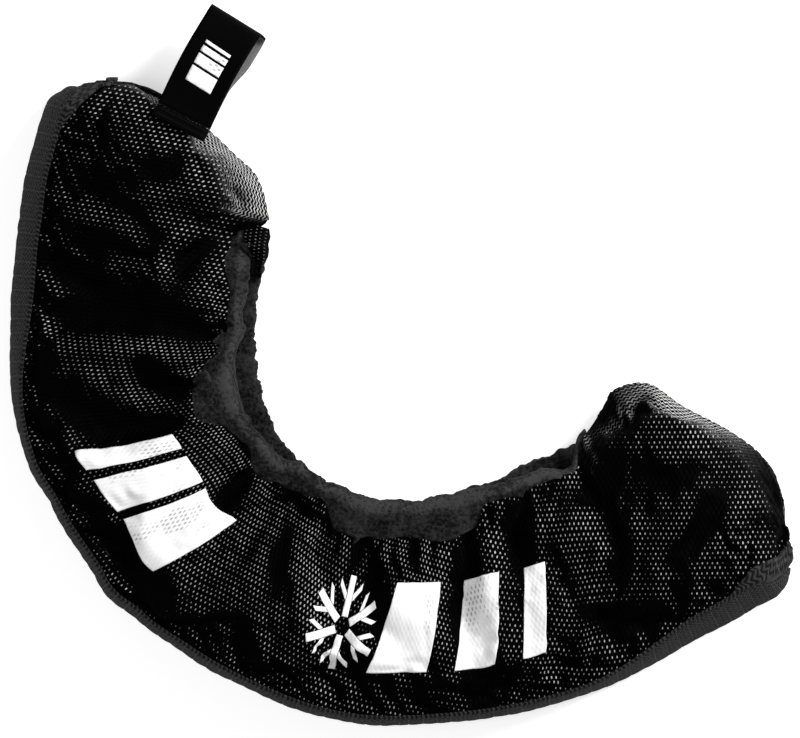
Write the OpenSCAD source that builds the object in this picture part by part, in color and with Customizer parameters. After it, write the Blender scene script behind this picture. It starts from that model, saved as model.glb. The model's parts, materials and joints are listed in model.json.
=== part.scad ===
// Soft blade cover for an ice hockey skate, lying on its side as it does off the skate.
// A webbing sole, two woven side walls that close into a hood at each end, an absorbent
// fleece lining, a gathered elastic mouth and a ribbon pull tab at the heel.
// Millimetres, +Z up from the surface that the cover lies on.
// "Near" is the upper, printed side, and "far" is the side that lies on the surface.

/* [Sole] */
// Length of the heel part of the sole line
heel_len = 65; // [50:1:85]
// Radius of the heel part of the sole line
heel_r = 214; // [150:1:300]
// Length of the bent middle part of the sole line
mid_len = 220; // [180:1:264]
// Radius of the bent middle part of the sole line
mid_r = 124; // [105:1:160]
// Length of the toe part of the sole line
toe_len = 103; // [84:1:125]
// Radius of the toe part of the sole line
toe_r = 204; // [150:1:300]
// Radius of the corner that the sole turns round at each end
corner_r = 12; // [9:0.5:15]
// Width of the webbing sole strip
strip_w = 25.4; // [22:0.1:32]
// Thickness of the webbing sole strip
strip_t = 2; // [1.2:0.1:3]

/* [Walls] */
// Height of the wall from the sole to the rim, at the middle of the mouth
wall_h = 70; // [58:1:86]
// Height of the heel hood from the sole to its ridge
heel_hood_h = 76; // [64:1:92]
// Height of the toe hood from the sole to its peak
toe_hood_h = 83; // [69:1:100]
// Thickness of the woven shell
shell_t = 1; // [0.6:0.1:1.6]
// Thickness of the fleece lining
lining_t = 3; // [1.5:0.1:4]
// How far the hoods swell above the edge of the sole
hood_crown = 4; // [1:0.5:8]

/* [Mouth] */
// Thickness of the folded casing
casing_t = 6.4; // [5:0.1:8]
// Width of the elastic band
elastic_w = 5; // [4:0.5:6]
// Thickness of the elastic band
elastic_t = 1.2; // [0.8:0.1:1.6]
// Space between the elastic and the stitching of its casing
elastic_play = 0.4; // [0.2:0.1:1.5]
// How far the near rim stands back from the far rim
near_setback = 3; // [2:0.5:8]

/* [Pull tab] */
// Width of the ribbon
tab_w = 18; // [12:1:24]
// Length of the free loop
tab_len = 35.5; // [28:0.5:48]
// Thickness of the ribbon
ribbon_t = 0.8; // [0.5:0.1:1.2]
// Widest gap inside the loop
tab_gap = 6.6; // [5.6:0.1:9]

/* [Print] */
// Height of the printed bars and of the snowflake
print_h = 27; // [18:1:34]
// Thickness of the printed film
film_t = 0.25; // [0.1:0.05:0.4]

/* [Hidden] */
HALVES = ["heel", "toe"];
SIDES = ["near", "far"];
PAIRED = ["panel", "lining", "rim", "elastic", "seam"];

shell_colour = "#141416";
fleece_colour = "#2b2b2e";
webbing_colour = "#37373a";
elastic_colour = "#55555a";
thread_colour = "#1d1d20";
ribbon_colour = "#0a0a0b";
print_colour = "#f2f2f2";

heading = -110.4;        // direction of the sole line where it starts, at the heel
layer_gap = 0.1;         // between two layers of cloth
seam_gap = 0.3;          // between two pieces that butt at a seam
hinge_gap = 0.6;         // between the two halves where the cover bends
rest_lift = 0.15;        // rims and casings stay this far above the surface
sole_len = heel_len + mid_len + toe_len;
corner_wrap = 12.5;      // how far the strip runs round the heel corner
toe_wrap = 10.5;
mouth_ramp = 25;         // length over which the mouth opens at its corners
mouth_from = 25;
mouth_to = sole_len - 20;

// ---- Plan: the sole line, the line of the ridge and rim, and the stations between them ----

// One step of length l along an arc of radius r that turns left, from place p = [x, y, heading].
function arc_step(p, l, r) = let (a = l / r * 180 / PI)
    [p.x + r * (sin(p.z + a) - sin(p.z)), p.y + r * (cos(p.z) - cos(p.z + a)), p.z + a];
function straight_step(p, l) = [p.x + l * cos(p.z), p.y + l * sin(p.z), p.z];

heel_start = [0, 0, heading];
mid_start = arc_step(heel_start, heel_len, heel_r);
toe_start = arc_step(mid_start, mid_len, mid_r);
toe_end = arc_step(toe_start, toe_len, toe_r);

// Place on the sole line at length s from the heel, between its ends.
function main_at(s) =
    s < heel_len ? arc_step(heel_start, s, heel_r) :
    s < heel_len + mid_len ? arc_step(mid_start, s - heel_len, mid_r) :
    arc_step(toe_start, s - heel_len - mid_len, toe_r);
// The same, turning the corners past both ends.
function edge_at(s) =
    s < 0 ? arc_step(heel_start, s, corner_r) :
    s > sole_len ? arc_step(toe_end, s - sole_len, corner_r) : main_at(s);
// The same, running straight on past both ends.
function flat_at(s) =
    s < 0 ? straight_step(heel_start, s) :
    s > sole_len ? straight_step(toe_end, s - sole_len) : main_at(s);
function xy(p) = [p.x, p.y];
function inward(p) = [-sin(p.z), cos(p.z)];
function offset_in(p, n) = xy(p) + n * inward(p);

// Each row is a section: where it leaves the sole, and where it meets the ridge or rim,
// as a length along the sole line and a height above it.
heel_rows = [for (r = [
    [-12.5, -13.5, 0.18], [-10.5, -15.5, 0.3], [-8, -16, 0.43], [-5, -14, 0.59],
    [-1.5, -8, 0.75], [3.5, -1, 0.88], [13.5, 12, 0.96]])
    [r[0], r[1], r[2] * heel_hood_h]];
mouth_rows = [for (r = [
    [0.076, 0.076, 1.11], [0.12, 0.12, 1.12], [0.17, 0.17, 1.1], [0.27, 0.27, 1.065], [0.39, 0.39, 1.03],
    [0.51, 0.51, 1.007], [0.625, 0.625, 1], [0.74, 0.74, 1.03], [0.845, 0.85, 1.07],
    [0.885, 0.893, 1.072], [0.92, 0.931, 1.064]])
    [r[0] * sole_len, r[1] * sole_len, r[2] * wall_h]];
toe_rows = [for (r = [
    [-15, -9, 0.955], [-7, 1, 1], [-2, 10, 0.94], [2, 16, 0.78],
    [5, 20.5, 0.61], [8, 20.5, 0.46], [9.5, 18.5, 0.31], [10.5, 14.5, 0.19]])
    [sole_len + r[0], sole_len + r[1], r[2] * toe_hood_h]];
rows = concat(heel_rows, mouth_rows, toe_rows);
last_row = len(rows) - 1;
bend_row = len(heel_rows) + 5;
bend_at = rows[bend_row][0];
row_lookup = [for (i = [0 : last_row]) [rows[i][0], i]];

function spline(a, b, c, d, f) =
    0.5 * (2 * b + (c - a) * f + (2 * a - 5 * b + 4 * c - d) * f * f + (3 * b - a - 3 * c + d) * f * f * f);
function row_at(u) = let (i = min(floor(u), last_row - 1), f = u - i)
    spline(rows[max(i - 1, 0)], rows[i], rows[i + 1], rows[min(i + 2, last_row)], f);
function clamp(x) = max(0, min(1, x));
function smooth(x) = let (c = clamp(x)) c * c * (3 - 2 * c);
function mix(a, b, f) = a + (b - a) * f;

// ---- Heights: how thick the cover is and how it swells ----

// 1 along the sole, falling where the strip turns the corners.
function end_fall(s) = mix(0.42, 1, smooth((s + corner_wrap) / 14)) *
    mix(0.42, 1, smooth((sole_len + toe_wrap - s) / 13));
heel_tilt = 8;
mid_tilt = 3.5;
toe_tilt = 8;
// How far the strip leans in between its far and its near edge.
function tilt(s) = end_fall(s) * (mid_tilt +
    (heel_tilt - mid_tilt) * smooth((110 - s) / 60) +
    (toe_tilt - mid_tilt) * smooth((s - sole_len + 70) / 55));
function height(s) = end_fall(s) * sqrt(pow(strip_w, 2) - pow(tilt(s), 2));
function ridge_z(s) = 0.42 * height(s);
// 0 in the hoods and 1 where the mouth is fully open.
function open(s) = smooth((s - mouth_from) / mouth_ramp) * smooth((mouth_to - s) / mouth_ramp);
function casing_share(s) = smooth((open(s) - 0.15) / 0.75);
function crown(s, w) = mix(hood_crown, 2, open(s)) * clamp(w / 60);
round_power = 3;
function rounding(m) = sqrt(max(0, 1 - pow(m, round_power)));

// The casing is a strip of fleece folded round the elastic: its hollow, its wall and its length.
casing_slot = elastic_t + 4 * layer_gap;
casing_wall = (casing_t - casing_slot) / 2;
casing_len = elastic_w + elastic_play + casing_slot / 2 + casing_wall;

// Everything a section needs: [start, direction, width, place on the sole, place on the rim].
function section(u) = let (
    r = row_at(u), o = xy(edge_at(r[0])), i = offset_in(flat_at(r[1]), r[2]), w = norm(i - o))
    [o, (i - o) / w, w, r[0], r[1]];
function wall_width(c, side) =
    c[2] - casing_share(c[4]) * (casing_len + seam_gap + (side == "near" ? near_setback : 0));
function rim_z(c, side, d) = let (h = height(c[3]), o = open(c[4]))
    side == "near" ? mix(ridge_z(c[3]) + seam_gap / 2, h - 4 - d, o) : mix(ridge_z(c[3]) - seam_gap / 2, d, o);

// A point of a wall: m runs from the sole (0) to the ridge or rim (1), and d is the depth below
// the outer face.
function wall_point(u, side, m, d) = let (
    c = section(u), o = open(c[4]), h = height(c[3]),
    from = tilt(c[3]) * (side == "near" ? 1 : d / h),
    to = wall_width(c, side) - d * (1 - o),
    end_z = rim_z(c, side, d), top = h - d + crown(c[4], c[2]) * 4 * m * (1 - m),
    z = side == "near" ? end_z + (top - end_z) * rounding(m) : d + (end_z - d) * (1 - rounding(m)),
    p = c[0] + c[1] * mix(from, to, m))
    [p.x, p.y, z];

wall_steps = [0, 0.12, 0.28, 0.45, 0.62, 0.76, 0.87, 0.95, 1];
per_row = 3;
function span(from, to, step) = let (n = max(1, ceil((to - from) / step)))
    [for (i = [0 : n]) mix(from, to, i / n)];
// The stretch of rows that one half covers, with the running gap at the bend.
bend_clear = hinge_gap / 2 / (rows[bend_row + 1][0] - rows[bend_row][0]);
function between(list, from, to) = [for (x = list) if (x >= from && x <= to) x];
function half_rows(half, from, to) = between(half == "heel" ?
    span(0, bend_row - bend_clear, 1 / per_row) :
    span(bend_row + bend_clear, last_row, 1 / per_row), from, to);
sole_step = 5.5;
function half_sole(half, from, to) = between(half == "heel" ?
    span(-corner_wrap, bend_at - hinge_gap / 2, sole_step) :
    span(bend_at + hinge_gap / 2, sole_len + toe_wrap, sole_step), from, to);

// ---- Solids ----

// A closed sheet between two grids of points, one row of points for each station.
module slab(outer, inner) {
    rn = len(outer);
    cn = len(outer[0]);
    half_n = rn * cn;
    normal = cross(outer[1][0] - outer[0][0], outer[0][1] - outer[0][0]);
    keep = normal * (outer[0][0] - inner[0][0]) > 0;
    function quad(a, b, c, d) = keep ? [[a, b, c], [a, c, d]] : [[c, b, a], [d, c, a]];
    points = [for (g = [outer, inner]) for (row = g) for (p = row) p];
    faces = [
        for (i = [0 : rn - 2]) for (j = [0 : cn - 2]) let (k = i * cn + j)
            for (f = concat(quad(k, k + 1, k + cn + 1, k + cn),
                quad(k + half_n, k + cn + half_n, k + cn + 1 + half_n, k + 1 + half_n))) f,
        for (i = [0 : rn - 2]) let (k = i * cn, e = i * cn + cn - 1)
            for (f = concat(quad(k, k + cn, k + cn + half_n, k + half_n),
                quad(e + cn, e, e + half_n, e + cn + half_n))) f,
        for (j = [0 : cn - 2]) let (k = j, e = (rn - 1) * cn + j)
            for (f = concat(quad(k + 1, k, k + half_n, k + 1 + half_n),
                quad(e, e + 1, e + 1 + half_n, e + half_n))) f
    ];
    polyhedron(points = points, faces = faces, convexity = 10);
}

module panel(side, half) {
    us = half_rows(half, 0, last_row);
    color(shell_colour) place() slab(
        [for (u = us) [for (m = wall_steps) wall_point(u, side, m, 0)]],
        [for (u = us) [for (m = wall_steps) wall_point(u, side, m, shell_t)]]);
}

// The lining starts beside the lining of the sole, and stays clear of the corners at both ends.
lining_start = strip_t + lining_t + 5 * layer_gap;
lined_from = len(heel_rows) - 2;
lined_to = last_row - 5;
least_step = 0.01;
module lining(side, half) {
    us = half_rows(half, lined_from, lined_to);
    top = shell_t + layer_gap;
    function steps(u) = let (c = section(u),
        first = lining_start / (wall_width(c, side) - tilt(c[3]) - top - lining_t))
        [for (i = [0 : len(wall_steps) - 1]) max(wall_steps[i], first + i * least_step)];
    color(fleece_colour) place() slab(
        [for (u = us) [for (m = steps(u)) wall_point(u, side, m, top)]],
        [for (u = us) [for (m = steps(u)) wall_point(u, side, m, top + lining_t)]]);
}

// A point beside the sole line: n inward from the strip's leaning outer face, at height z.
function sole_point(s, n, z) = let (p = offset_in(edge_at(s), n + tilt(s) * z / height(s))) [p.x, p.y, z];
function sole_grid(ss, n, clear) = [for (s = ss)
    [sole_point(s, n, clear), sole_point(s, n, height(s) - clear)]];

module sole_strip(half) {
    ss = half_sole(half, -corner_wrap, sole_len + toe_wrap);
    clear = shell_t + layer_gap;
    color(webbing_colour) place() slab(sole_grid(ss, 0, clear), sole_grid(ss, strip_t, clear));
}

module sole_lining(half) {
    ss = half_sole(half, 8, sole_len - 6);
    clear = shell_t + layer_gap;
    color(fleece_colour) place() slab(
        sole_grid(ss, strip_t + layer_gap, clear), sole_grid(ss, strip_t + layer_gap + lining_t, clear));
}

// Rows of the mouth over which the casing is long enough to hold the elastic.
rim_from = 7.9;
rim_to = last_row - 8.45;
function rim_middle(c, side) = side == "near" ?
    rim_z(c, side, 0) - casing_t / 2 : max(rim_z(c, side, 0) + casing_t / 2, casing_t / 2) + rest_lift;
function rim_point(c, side, along, z) = let (p = c[0] + c[1] * (wall_width(c, side) + seam_gap + along))
    [p.x, p.y, rim_middle(c, side) + z];
// The fold of the casing as a hairpin of half thickness r that ends at length l.
fold_steps = [-90 : 30 : 90];
function hairpin(c, side, l, r) = concat(
    [rim_point(c, side, 0, -r)],
    [for (a = fold_steps) rim_point(c, side, l - r + r * cos(a), r * sin(a))],
    [rim_point(c, side, 0, r)]);
module rim(side, half) {
    us = half_rows(half, rim_from, rim_to);
    cs = [for (u = us) section(u)];
    color(fleece_colour) place() slab(
        [for (c = cs) hairpin(c, side, casing_len * casing_share(c[4]), casing_t / 2)],
        [for (c = cs) hairpin(c, side, casing_len * casing_share(c[4]) - casing_wall, casing_slot / 2)]);
}

module elastic(side, half) {
    us = half_rows(half, rim_from, rim_to);
    cs = [for (u = us) section(u)];
    function band(z) = [for (c = cs) let (w = elastic_w - casing_len * (1 - casing_share(c[4])))
        [for (a = [elastic_play, elastic_play + w]) rim_point(c, side, a, z)]];
    color(elastic_colour) place() slab(band(elastic_t / 2), band(-elastic_t / 2));
}

// The row of stitches that holds one edge of the webbing to a wall.
stitch_w = 1;
stitch_t = 0.5;
module seam(side, half) {
    ss = half_sole(half, -corner_wrap + 4, sole_len + toe_wrap - 4);
    inset = shell_t + 2.5;
    function face(n) = [for (s = ss) let (z = side == "near" ? height(s) - inset - stitch_w : inset)
        [sole_point(s, n, z), sole_point(s, n, z + stitch_w)]];
    color(thread_colour) place() slab(face(-stitch_t - layer_gap), face(-layer_gap));
}

// The thread that closes a hood along its ridge, just outside the meeting edges of the two walls.
function ridge(u) = let (c = section(u)) c[0] + c[1] * c[2];
// The same, moved out by a distance square to the ridge.
function beside_ridge(u, out) = let (
    along = ridge(min(u + 0.05, last_row)) - ridge(max(u - 0.05, 0)), l = norm(along))
    ridge(u) + out / l * [-along.y, along.x];
module hood_seam(half) {
    us = half == "heel" ? half_rows(half, 0, 7.6) : half_rows(half, last_row - 7.4, last_row);
    function line(out) = [for (u = us) let (p = beside_ridge(u, out), z = ridge_z(section(u)[3]))
        [[p.x, p.y, z - stitch_w / 2], [p.x, p.y, z + stitch_w / 2]]];
    color(thread_colour) place() slab(line(layer_gap + stitch_t), line(layer_gap));
}

// ---- Print: a snowflake between two groups of slanting bars ----

print_mid = 31;          // height of the middle of the print above the sole
print_slant = 9;         // how far a bar leans along the sole
print_lift = 0.15;       // between the print and what it lies on
flake_at = sole_len * 0.612;
function print_point(s, n, d) = let (u = lookup(s, row_lookup), c = section(u), from = tilt(c[3]))
    wall_point(u, "near", (n - from) / (wall_width(c, "near") - from), d);
// A film patch with four corners, each [place along the sole, height above it].
module film(corners, across) {
    up = 5;
    function at(i, j, d) = let (
        p = mix(mix(corners[0], corners[1], i / across), mix(corners[3], corners[2], i / across), j / up))
        print_point(p.x, p.y, d);
    function grid(d) = [for (i = [0 : across]) [for (j = [0 : up]) at(i, j, d)]];
    color(print_colour) place() slab(grid(-film_t - print_lift), grid(-print_lift));
}
module bar(s, w) {
    low = print_mid - print_h / 2;
    film([[s, low], [s + w, low], [s + w + print_slant, low + print_h], [s + print_slant, low + print_h]],
        max(2, round(w / 3)));
}
heel_bars = [[0.315, 8], [0.354, 14], [0.408, 21]];
toe_bars = [[0.685, 21], [0.756, 14], [0.809, 8]];

// A bar of the snowflake: from distance a to b along a ray at the given angle, side is its offset.
function turned(p, angle) = [p.x * cos(angle) - p.y * sin(angle), p.x * sin(angle) + p.y * cos(angle)];
module flake_bar(angle, points) {
    film([for (p = points) [flake_at, print_mid] + turned(p, angle)], 2);
}
module snowflake(r) {
    w = r * 0.085;
    for (k = [0 : 5]) {
        flake_bar(60 * k + 30, [[2.2 * w, -w], [r, -w], [r, w], [2.2 * w, w]]);
        for (s = [-1, 1])
            flake_bar(60 * k + 30, [
                [r * 0.5, s * w * 1.15], [r * 0.64, s * w * 1.15],
                [r * 0.9, s * r * 0.34], [r * 0.76, s * r * 0.34]]);
    }
}
module side_print(half) {
    for (b = half == "heel" ? heel_bars : toe_bars) bar(b[0] * sole_len, b[1]);
    if (half == "toe") snowflake(print_h * 0.56);
}

// ---- Pull tab ----

tab_row = 3.9;           // section of the heel hood that the tab is sewn to
tab_share = 0.65;        // how far up that section
stub_len = 4;
tab_heading = 63;        // direction in which the tab points
tab_droop = 18;          // how far it hangs below level
fold_gap = 0.6;          // between the sewn end and the loop, where the tab folds
tab_root = wall_point(tab_row, "near", tab_share, 0) + [0, 0, ribbon_t + 0.4];
// Places what follows at the tab's root, with x along the tab and y across it.
module at_tab(along) {
    place() translate(tab_root) rotate([0, tab_droop, tab_heading]) translate([along, 0, 0]) children();
}
loop_steps = [0 : 1 / 12 : 1];
loop_run = tab_len - tab_gap / 2;
// Half the height of the loop at share f of its length.
function belly(f) = ribbon_t + 0.05 + tab_gap / 2 * pow(sin(180 * (f * 0.54 + 0.02)), 1.6);
function loop_side(inset, up) = [for (f = loop_steps) [f * loop_run, up * (belly(f) - inset)]];
function loop_end(inset) = let (r = belly(1) - inset)
    [for (a = [75 : -15 : -75]) [loop_run + r * cos(a), r * sin(a)]];
function reversed(list) = [for (i = [len(list) - 1 : -1 : 0]) list[i]];
module tab_loop() {
    color(ribbon_colour) at_tab(stub_len + fold_gap) translate([0, tab_w / 2, 0]) rotate([90, 0, 0])
        linear_extrude(height = tab_w) polygon(concat(
            loop_side(0, 1), loop_end(0), reversed(loop_side(0, -1)),
            loop_side(ribbon_t, -1), reversed(loop_end(ribbon_t)), reversed(loop_side(ribbon_t, 1))));
}
module tab_base() {
    color(ribbon_colour) at_tab(0) translate([0, -tab_w / 2, -ribbon_t]) cube([stub_len, tab_w, 2 * ribbon_t]);
}
bartack_rows = [0.8, 2.4];
module tab_bartack() {
    color(thread_colour) for (x = bartack_rows)
        at_tab(x) translate([0, -tab_w / 2 + 1, ribbon_t]) cube([0.7, tab_w - 2, 0.4]);
}
// The tab's print is a small copy of the side print's bars: each is [share of the loop, width].
tab_bars = [[0.3, 5], [0.48, 3.4], [0.61, 2], [0.7, 1]];
tab_slant = 1.6;
module tab_print() {
    bar_h = tab_w * 0.5;
    function top_z(x) = belly(x / loop_run) + print_lift;
    function bar_z(x) = max(top_z(x + tab_slant), top_z(x - tab_slant));
    function grid(b, lift) = [for (x = span(b[0] * loop_run, b[0] * loop_run + b[1], 1.5))
        [for (y = [-1, 1]) [x + y * tab_slant, y * bar_h / 2, bar_z(x) + lift]]];
    color(print_colour) at_tab(stub_len + fold_gap) for (b = tab_bars) slab(grid(b, film_t), grid(b, 0));
}

// ---- Frame: the middle of the cover's outline, on the surface ----

tab_reach = (stub_len + fold_gap + loop_run) * cos(tab_droop) + belly(1);
tab_tip = xy(tab_root) + turned([tab_reach, tab_w / 2], tab_heading);
tab_tip_right = xy(tab_root) + turned([tab_reach, -tab_w / 2], tab_heading);
outline = concat(
    [for (s = [-corner_wrap : 2 : sole_len + toe_wrap]) offset_in(edge_at(s), -stitch_t - layer_gap)],
    [for (u = [0 : 0.25 : last_row]) let (c = section(u)) c[0] + c[1] * (c[2] + stitch_t)],
    [tab_tip, tab_tip_right]);
low = [min([for (p = outline) p.x]), min([for (p = outline) p.y])];
high = [max([for (p = outline) p.x]), max([for (p = outline) p.y])];
centre = (low + high) / 2;
module place() {
    translate([-centre.x, -centre.y, 0]) children();
}
bend_hinge = xy(main_at(bend_at)) - centre;
tab_pivot = let (l = stub_len + fold_gap / 2, up = ribbon_t + 0.05) [
    each xy(tab_root) - centre + turned([l * cos(tab_droop) + up * sin(tab_droop), 0], tab_heading),
    tab_root.z - l * sin(tab_droop) + up * cos(tab_droop)];
echo(bend_hinge = bend_hinge, tab_pivot = tab_pivot, bend_heading = main_at(bend_at).z);

for (h = HALVES) {
    for (s = SIDES) {
        panel(s, h);
        lining(s, h);
        rim(s, h);
        elastic(s, h);
        seam(s, h);
    }
    sole_strip(h);
    sole_lining(h);
    hood_seam(h);
    side_print(h);
}
tab_base();
tab_bartack();
tab_loop();
tab_print();
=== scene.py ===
import json
import math
import bpy
import numpy as np
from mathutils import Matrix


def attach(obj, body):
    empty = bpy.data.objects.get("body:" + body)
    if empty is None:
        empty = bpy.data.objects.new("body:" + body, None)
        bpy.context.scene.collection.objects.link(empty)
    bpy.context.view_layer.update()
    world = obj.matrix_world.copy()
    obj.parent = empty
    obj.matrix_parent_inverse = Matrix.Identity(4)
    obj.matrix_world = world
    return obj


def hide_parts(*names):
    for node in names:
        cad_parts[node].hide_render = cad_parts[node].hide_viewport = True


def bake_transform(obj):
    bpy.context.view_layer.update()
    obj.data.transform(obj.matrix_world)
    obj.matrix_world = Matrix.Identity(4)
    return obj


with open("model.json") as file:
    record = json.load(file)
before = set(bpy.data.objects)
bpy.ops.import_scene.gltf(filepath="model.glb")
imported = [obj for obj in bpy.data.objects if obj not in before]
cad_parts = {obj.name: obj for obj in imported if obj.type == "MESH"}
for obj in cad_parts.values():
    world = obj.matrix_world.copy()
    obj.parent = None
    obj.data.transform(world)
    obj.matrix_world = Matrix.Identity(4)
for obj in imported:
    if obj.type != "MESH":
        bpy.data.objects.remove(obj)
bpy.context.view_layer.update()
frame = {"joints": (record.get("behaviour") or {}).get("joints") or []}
bpy.ops.object.select_all(action="DESELECT")
print("frame loaded")

mm = 0.001

# the cover's surface, in millimetres: a place along the sole and a share of the way to the mouth
cover = dict(
    arcs=[(65, 214), (220, 124), (103, 204)], cornerR=12, heading=-110.4, bendAt=197.88,
    stripW=25.4, stripT=2, cornerWrap=12.5, toeWrap=10.5, shellT=1, liningT=3, crown=4, flatCrown=2,
    heelH=76, toeH=83, wallH=70, casingT=6.4, casingLen=8.6, seamGap=0.3, setback=3,
    mouthFrom=25, mouthRamp=25, ridgeShare=0.42, casingFrom=14, casingRamp=13,
    lean=3.5, leanAtEnds=4.5, endShare=0.42, cutR=332.0, clothT=0.8, floorGap=0.05,
)
soleLen = sum(length for length, radius in cover["arcs"])
mouthTo = soleLen - 20
stripW = cover["stripW"]
bendJoint = next(j for j in frame["joints"] if j["name"] == "uncurl")
tabJoint = next(j for j in frame["joints"] if j["name"] == "tab_swing")

# place on the sole, place on the ridge or rim, height as a share: heel hood, mouth, toe hood
heelRows = [(-12.5, -13.5, 0.18), (-10.5, -14.6, 0.3), (-8, -13.6, 0.43), (-5, -10.6, 0.59),
            (-1.5, -5.4, 0.757), (3.5, -0.4, 0.885), (13.5, 12, 0.962)]
mouthRows = [(0.076, 0.076, 1.11), (0.12, 0.12, 1.12), (0.17, 0.17, 1.1), (0.27, 0.27, 1.065),
             (0.39, 0.39, 1.03), (0.51, 0.51, 1.007), (0.625, 0.625, 1), (0.74, 0.74, 1.03),
             (0.845, 0.85, 1.07), (0.885, 0.893, 1.072), (0.92, 0.931, 1.064)]
toeRows = [(-15, -9.5, 0.95), (-7, 0, 0.978), (-2, 9.5, 0.92), (2, 14, 0.77),
           (5, 20.5, 0.6), (8, 24, 0.45), (9.5, 22.5, 0.31), (10.5, 16.5, 0.19)]
rows = np.array(
    [(a, b, c * cover["heelH"]) for a, b, c in heelRows]
    + [(a * soleLen, b * soleLen, c * cover["wallH"]) for a, b, c in mouthRows]
    + [(soleLen + a, soleLen + b, c * cover["toeH"]) for a, b, c in toeRows])
lastRow = len(rows) - 1


def smooth(x):
    x = np.clip(x, 0, 1)
    return x * x * (3 - 2 * x)


def mix(a, b, f):
    return a + (b - a) * f


def catmull(a, b, c, d, f):
    square, cube = 2 * a - 5 * b + 4 * c - d, 3 * b - a - 3 * c + d
    return 0.5 * (2 * b + (c - a) * f + square * f * f + cube * f ** 3)


def eased(table, at):  # a value from a table of places and values, easing from one to the next
    table = np.array(table, float)
    i = np.clip(np.searchsorted(table[:, 0], at) - 1, 0, len(table) - 2)
    f = (at - table[i, 0]) / (table[i + 1, 0] - table[i, 0])
    return mix(table[i, 1], table[i + 1, 1], smooth(f))


def unit(vectors):
    return vectors / np.maximum(np.linalg.norm(vectors, axis=-1, keepdims=True), 1e-9)


def withZ(xy, z):
    return np.concatenate([xy, np.broadcast_to(z, xy.shape[:-1])[..., None]], -1)


def rowAt(u):
    i = np.clip(np.floor(u).astype(int), 0, lastRow - 1)
    f = (u - i)[..., None]
    return catmull(rows[np.maximum(i - 1, 0)], rows[i], rows[i + 1], rows[np.minimum(i + 2, lastRow)], f)


def soleLine(s):  # x, y and heading of the sole line, before it is moved to the bend
    x, y, h = 0.0, 0.0, math.radians(cover["heading"])
    start = 0.0
    out = None
    for length, r in cover["arcs"]:
        a = (s - start) / r
        east, north = r * (np.sin(h + a) - math.sin(h)), r * (math.cos(h) - np.cos(h + a))
        here = np.stack([x + east, y + north, h + a], -1)
        out = here if out is None else np.where((s >= start)[..., None], here, out)
        turn = length / r
        x, y = x + r * (math.sin(h + turn) - math.sin(h)), y + r * (math.cos(h) - math.cos(h + turn))
        h += turn
        start += length
    return out


bendPoint = soleLine(np.array(cover["bendAt"]))
shift = np.array(bendJoint["pos_m"][:2]) / mm - bendPoint[:2]

# how far the worn sole bellies out from its cut line: place along the sole, distance
belly = [(-12, -1.6), (-6, 1.2), (0, 3.2), (8, 3.2), (19, 3), (38, 1.7), (66, 0.7), (94, 2.1), (113, 1.9),
         (128, 0), (148, -0.6), (160, 0.8), (172, -0.8), (192, -2), (210, -2.2), (245, -1.2), (275, -2.3),
         (308, -1.5), (325, -1.2), (358, -2.4), (380, -1), (390, 0.6)]


def edgeLine(s):  # the worn sole's edge, which turns a corner past each end, and its heading
    p = soleLine(np.clip(s, 0, soleLen))
    xy, h = p[..., :2] + shift, p[..., 2]
    r = cover["cornerR"]
    for past, way in ((np.maximum(-s, 0), -1), (np.maximum(s - soleLen, 0), 1)):
        a = past / r
        xy = xy + np.stack([way * r * np.sin(a) * np.cos(h) - r * (1 - np.cos(a)) * np.sin(h),
                            way * r * np.sin(a) * np.sin(h) + r * (1 - np.cos(a)) * np.cos(h)], -1)
        h = h + way * a
    return xy - inward(h) * eased(belly, s)[..., None], h


def flatLine(s):  # the sole line, straight past each end
    p = soleLine(np.clip(s, 0, soleLen))
    past = s - np.clip(s, 0, soleLen)
    h = p[..., 2]
    return p[..., :2] + shift + past[..., None] * np.stack([np.cos(h), np.sin(h)], -1), h


def inward(h):
    return np.stack([-np.sin(h), np.cos(h)], -1)


def endFall(s):  # the strip gets narrower where it wraps round each end
    low = cover["endShare"]
    heel, toe = smooth((s + cover["cornerWrap"]) / 14), smooth((soleLen + cover["toeWrap"] - s) / 13)
    return mix(low, 1, heel) * mix(low, 1, toe)


def tilt(s):  # how far the top of the strip leans in over its foot
    extra = cover["leanAtEnds"]
    heel, toe = extra * smooth((110 - s) / 60), extra * smooth((s - soleLen + 70) / 55)
    return endFall(s) * (cover["lean"] + heel + toe)


def height(s):
    return endFall(s) * np.sqrt(stripW ** 2 - tilt(s) ** 2)


def ridgeZ(s):
    return cover["ridgeShare"] * height(s)


def openShare(s):
    ramp = cover["mouthRamp"]
    return smooth((s - cover["mouthFrom"]) / ramp) * smooth((mouthTo - s) / ramp)


def casingShare(s):
    heel = smooth((s - cover["casingFrom"]) / cover["casingRamp"])
    return np.where(s < soleLen / 2, heel, smooth((openShare(s) - 0.15) / 0.75))


class Stations:  # what the surface needs along the cover, for an array of row places
    def __init__(self, u):
        self.u = u
        r = rowAt(u)
        self.sole, self.rim = r[:, 0], r[:, 1]
        self.start, self.turn = edgeLine(self.sole)
        xy, h = flatLine(self.rim)
        self.end = xy + inward(h) * r[:, 2:3]
        across = self.end - self.start
        self.width = np.hypot(across[:, 0], across[:, 1])
        self.way = across / self.width[:, None]
        self.height = height(self.sole)
        self.tilt = tilt(self.sole)
        self.ridge = ridgeZ(self.sole)
        self.open = openShare(self.rim)
        self.share = casingShare(self.rim)

    def wallWidth(self, side):
        return self.width - self.share * (cover["casingLen"] + cover["seamGap"]
                                          + (cover["setback"] if side == "near" else 0))

    def rimZ(self, side, d=0.0):
        half = cover["seamGap"] / 2
        if side == "near":
            return mix(self.ridge + half, self.height - 4 - d, self.open)
        return mix(self.ridge - half, d, self.open)

    def place(self, run, z):  # points a distance in from the sole's edge, at a height
        return withZ(self.start[:, None] + self.way[:, None] * run[..., None], z)


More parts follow.
